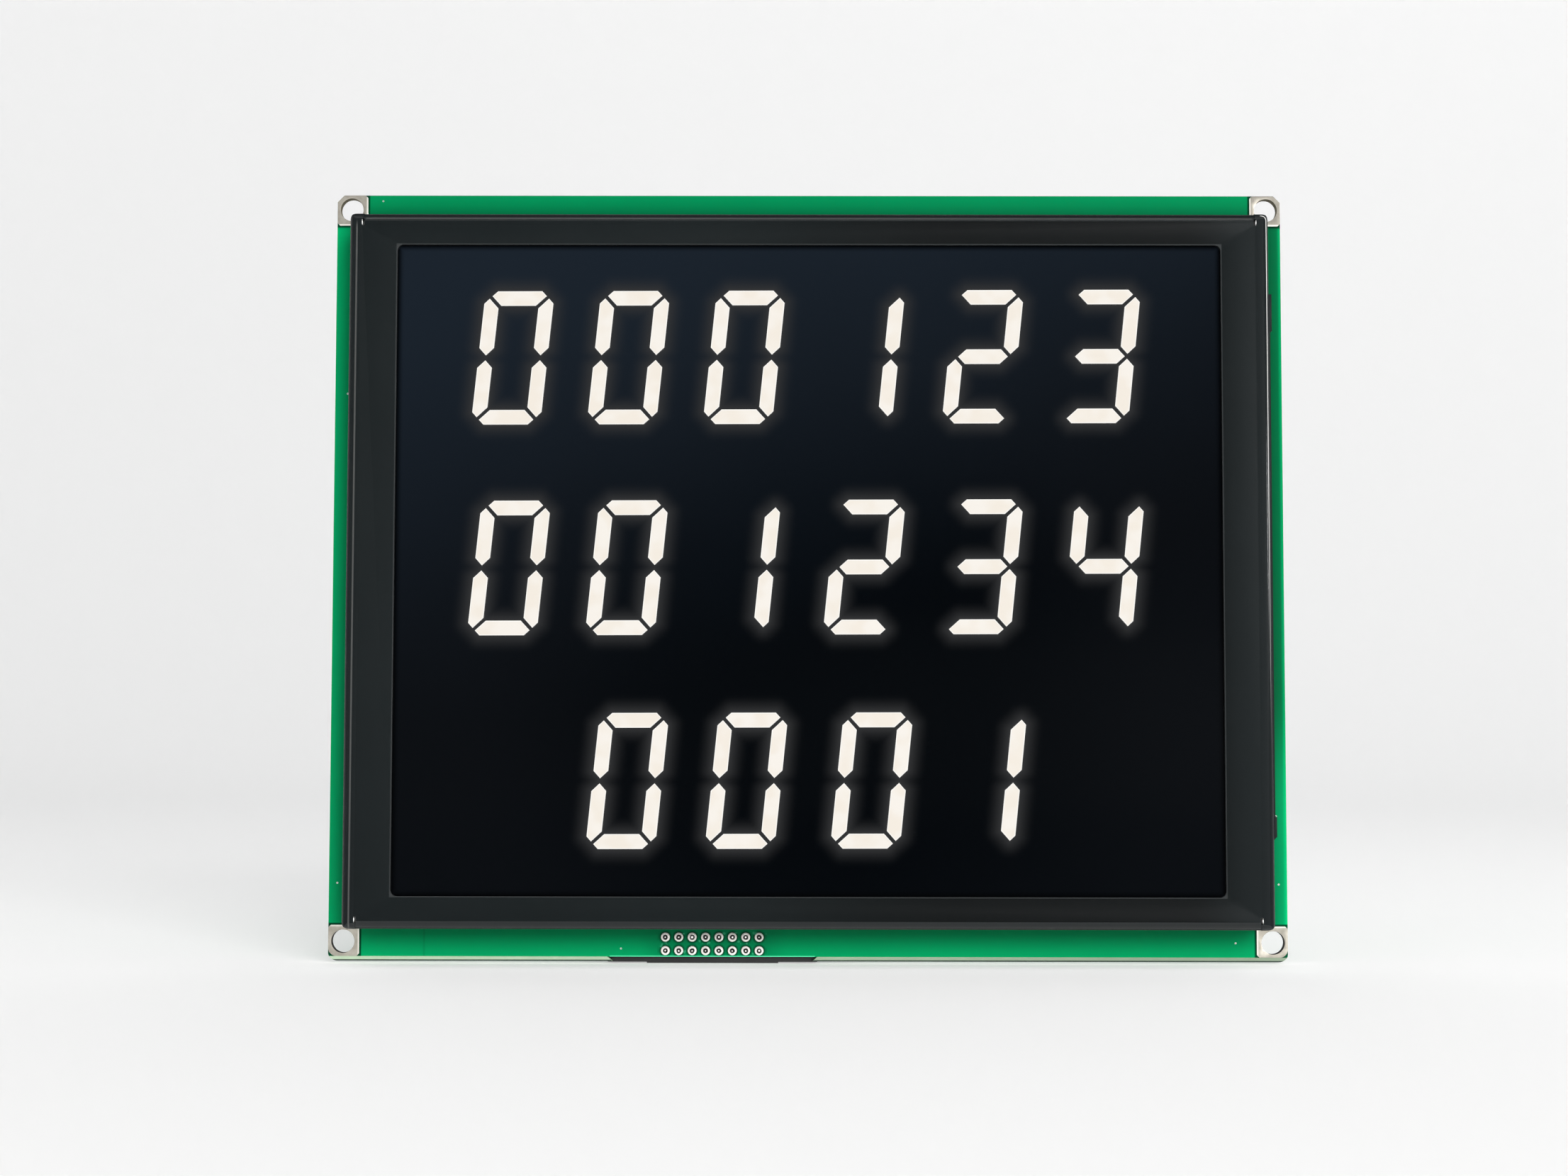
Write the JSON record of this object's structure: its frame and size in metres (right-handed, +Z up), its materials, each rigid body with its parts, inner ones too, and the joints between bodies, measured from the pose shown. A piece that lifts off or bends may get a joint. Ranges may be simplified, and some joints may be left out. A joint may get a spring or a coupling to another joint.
{
  "type": "segment lcd module",
  "caption": "Flat display module: a black folded-metal bezel frames dark glass with rows of lit seven-segment figures on a green board, with a latched header behind.",
  "frame": {"origin": "middle of the four mounting holes, on the rear face of their lands", "axes": "+X to the right along the rows of figures, +Z up, -Y out of the glass towards the viewer"},
  "size_m": [0.182, 0.0292, 0.1473],
  "materials": {
    "bezel": "satin black coating",
    "polariser": "glossy blue-black",
    "lit_segment": "backlit warm white",
    "glass": "polished",
    "contact_rubber": "striped silicone",
    "diffuser": "matt white film",
    "light_guide": "clear polished",
    "white_plastic": "moulded white",
    "lamp": "clear over yellow",
    "laminate": "glossy green solder mask",
    "tinned_land": "tinned",
    "solder": "bright",
    "pin": "gold plated",
    "black_plastic": "moulded black",
    "chip_resin": "moulded black resin",
    "ceramic": "fired ceramic"
  },
  "bodies": {
    "module": {"bezel": "bezel", "front_polariser": "polariser", "front_glass": "glass", "rear_glass": "glass", "rear_polariser": "polariser", "digits_top": "lit_segment", "digits_middle": "lit_segment", "digits_bottom": "lit_segment", "contact_strip_top": "contact_rubber", "contact_strip_bottom": "contact_rubber", "diffuser": "diffuser", "light_guide": "light_guide", "reflector": "diffuser", "backlight_housing": "white_plastic", "led_board_left": "laminate", "led_board_right": "laminate", "leds_left": "lamp", "leds_right": "lamp", "backlight_leads": "solder", "board": "laminate", "land_top_left": "tinned_land", "land_top_right": "tinned_land", "land_bottom_left": "tinned_land", "land_bottom_right": "tinned_land", "header_housing": "black_plastic", "header_pins": "pin", "header_solder": "solder", "lead_solder": "solder", "driver_left": "chip_resin", "driver_right": "chip_resin", "resistors": "chip_resin", "capacitors": "ceramic", "backlight_transistor": "chip_resin"},
    "left_latch": {"latch_left": "black_plastic"},
    "right_latch": {"latch_right": "black_plastic"}
  },
  "joints": [
    {"name": "left_latch_pivot", "type": "hinge", "parent": "module", "child": "left_latch", "pos_m": [-0.03444, 0.00332, -0.0706], "axis": [0, 0, 1], "range_deg": [0, 35]},
    {"name": "right_latch_pivot", "type": "hinge", "parent": "module", "child": "right_latch", "pos_m": [-0.00176, 0.00332, -0.0706], "axis": [0, 0, -1], "range_deg": [0, 35]}
  ]
}
